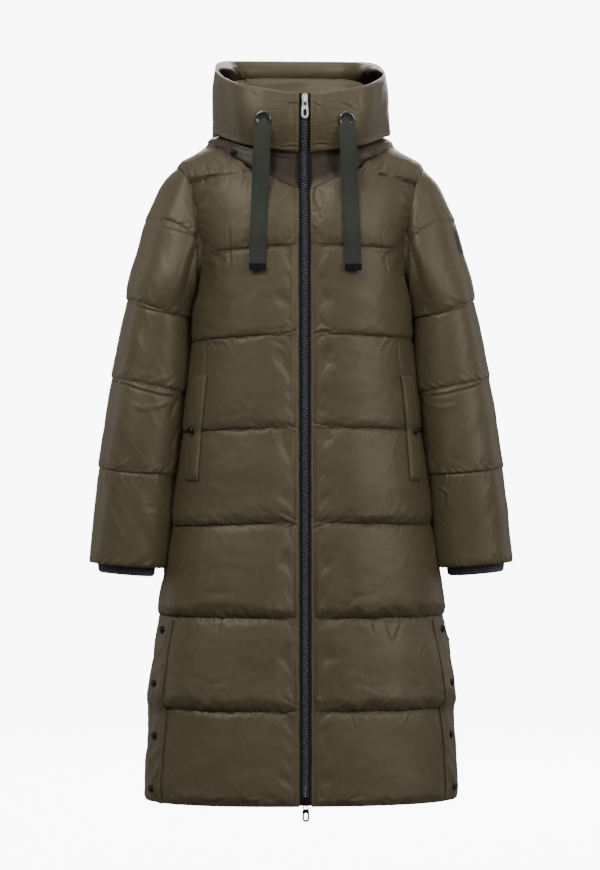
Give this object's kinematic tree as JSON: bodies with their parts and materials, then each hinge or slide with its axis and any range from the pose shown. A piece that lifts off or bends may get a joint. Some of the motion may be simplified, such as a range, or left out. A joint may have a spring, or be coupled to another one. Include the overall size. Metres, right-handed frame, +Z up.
{
  "type": "long puffer coat",
  "caption": "Knee-length quilted puffer coat with a high zipped funnel hood, flat draw tapes, side pockets, snapped side vents and rib cuffs, filled out as if worn",
  "frame": {"origin": "middle of the neck base, where the wearer's neck and shoulders carry the coat", "axes": "+Z up along the coat, +X to the wearer's left, -Y out of the coat's front"},
  "size_m": [0.7022, 0.4008, 1.2602],
  "materials": {
    "olive_nylon": "shiny olive brown nylon shell over down filling",
    "rib_knit": "black rib knit",
    "zip_tape": "black woven tape with moulded teeth",
    "steel": "polished metal",
    "black_metal": "black coated metal",
    "webbing": "grey green woven tape",
    "tape_end": "black stitched end",
    "badge": "plain dark patch"
  },
  "bodies": {
    "coat": {"back": "olive_nylon", "cuff_left": "rib_knit", "cuff_right": "rib_knit", "draw_tape_left": "webbing", "draw_tape_right": "webbing", "eyelet_left": "black_metal", "eyelet_right": "black_metal", "front_left": "olive_nylon", "front_right": "olive_nylon", "hood_middle": "olive_nylon", "hood_side_left": "olive_nylon", "hood_side_right": "olive_nylon", "neck_band": "olive_nylon", "neck_snap": "black_metal", "pocket_snap_left": "black_metal", "pocket_snap_right": "black_metal", "pocket_welt_left": "olive_nylon", "pocket_welt_right": "olive_nylon", "sleeve_badge": "badge", "sleeve_left": "olive_nylon", "sleeve_right": "olive_nylon", "slider_bottom": "black_metal", "slider_top": "steel", "tape_tip_left": "tape_end", "tape_tip_right": "tape_end", "vent_placket_left": "olive_nylon", "vent_placket_right": "olive_nylon", "vent_snap_left_1": "black_metal", "vent_snap_left_2": "black_metal", "vent_snap_left_3": "black_metal", "vent_snap_left_4": "black_metal", "vent_snap_right_1": "black_metal", "vent_snap_right_2": "black_metal", "vent_snap_right_3": "black_metal", "vent_snap_right_4": "black_metal", "zip_tape_left": "zip_tape", "zip_tape_right": "zip_tape"},
    "top_pull": {"pull_top": "steel"},
    "bottom_pull": {"pull_bottom": "black_metal"}
  },
  "joints": [
    {"name": "top_pull_swing", "type": "hinge", "parent": "coat", "child": "top_pull", "pos_m": [0, -0.12863, 0.0765], "axis": [-1, 0, 0], "range_deg": [0, 150]},
    {"name": "bottom_pull_swing", "type": "hinge", "parent": "coat", "child": "bottom_pull", "pos_m": [0, -0.15468, -1.052], "axis": [-1, 0, 0], "range_deg": [0, 150]}
  ]
}
